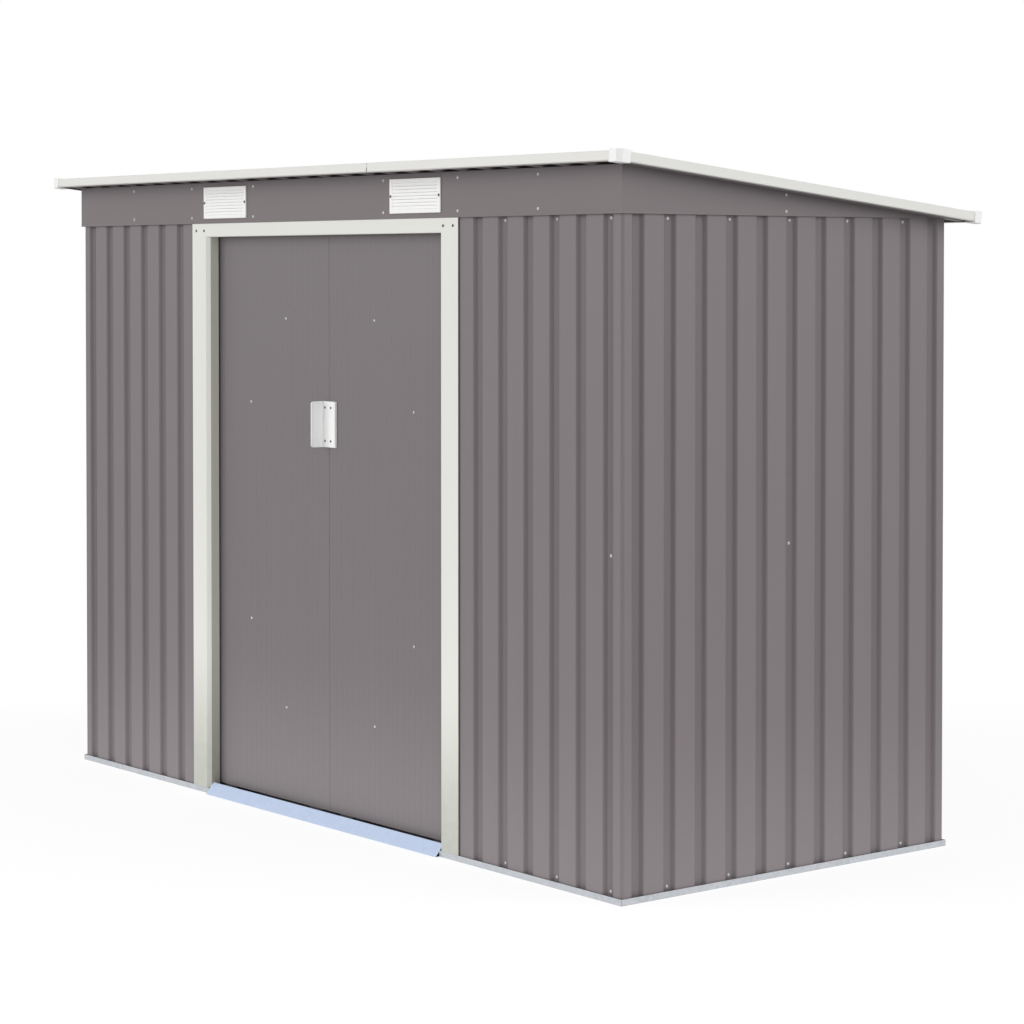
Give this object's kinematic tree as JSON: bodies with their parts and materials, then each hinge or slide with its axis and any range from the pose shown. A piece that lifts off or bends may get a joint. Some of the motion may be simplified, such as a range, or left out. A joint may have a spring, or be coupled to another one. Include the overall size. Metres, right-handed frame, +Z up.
{
  "type": "metal storage shed",
  "caption": "Walk-in storage shed of grooved sheet steel with a pent roof, louvred vents and two sliding doors.",
  "frame": {"origin": "middle of the overall footprint, on the ground", "axes": "+X to the right along the door side, -Y out of the doorway, +Y to the low back of the roof, +Z up"},
  "size_m": [2.772, 1.3054, 1.8605],
  "materials": {
    "wall_paint": "satin warm grey paint on pressed steel sheet",
    "ivory_paint": "satin ivory paint",
    "white_plastic": "moulded, slightly glossy",
    "galvanised_steel": "zinc coated",
    "dark_plastic": "moulded runners"
  },
  "bodies": {
    "shed": {"base_rail_front_left": "galvanised_steel", "base_rail_front_right": "galvanised_steel", "base_rail_left": "galvanised_steel", "base_rail_right": "galvanised_steel", "base_rail_back": "galvanised_steel", "door_sill": "galvanised_steel", "door_track_bottom": "galvanised_steel", "front_wall_left": "wall_paint", "front_wall_right": "wall_paint", "corner_front_left": "wall_paint", "corner_front_right": "wall_paint", "corner_back_left": "wall_paint", "corner_back_right": "wall_paint", "back_wall_left": "wall_paint", "back_wall_right": "wall_paint", "door_jamb_left": "ivory_paint", "door_jamb_right": "ivory_paint", "door_header": "ivory_paint", "top_rail_front": "galvanised_steel", "top_rail_left": "galvanised_steel", "top_rail_right": "galvanised_steel", "top_rail_back": "galvanised_steel", "door_track_top": "galvanised_steel", "front_fascia": "wall_paint", "gable_fascia_left": "wall_paint", "gable_fascia_right": "wall_paint", "fascia_brackets": "galvanised_steel", "roof_beam": "galvanised_steel", "vent_left": "white_plastic", "vent_right": "white_plastic", "roof_sheet_left": "wall_paint", "roof_sheet_middle": "wall_paint", "roof_sheet_right": "wall_paint", "roof_trim_front_left": "ivory_paint", "roof_trim_front_right": "ivory_paint", "roof_trim_back": "ivory_paint", "roof_trim_left": "ivory_paint", "roof_trim_right": "ivory_paint", "roof_corner_caps": "white_plastic"},
    "left_door": {"left_door_panel": "wall_paint", "left_door_runners": "dark_plastic", "left_handle": "white_plastic"},
    "right_door": {"right_door_panel": "wall_paint", "right_door_runners": "dark_plastic", "right_handle": "white_plastic"}
  },
  "joints": [
    {"name": "left_door_slide", "type": "slide", "parent": "shed", "child": "left_door", "axis": [-1, 0, 0], "range_m": [0, 0.52]},
    {"name": "right_door_slide", "type": "slide", "parent": "shed", "child": "right_door", "axis": [1, 0, 0], "range_m": [0, 0.52]}
  ]
}
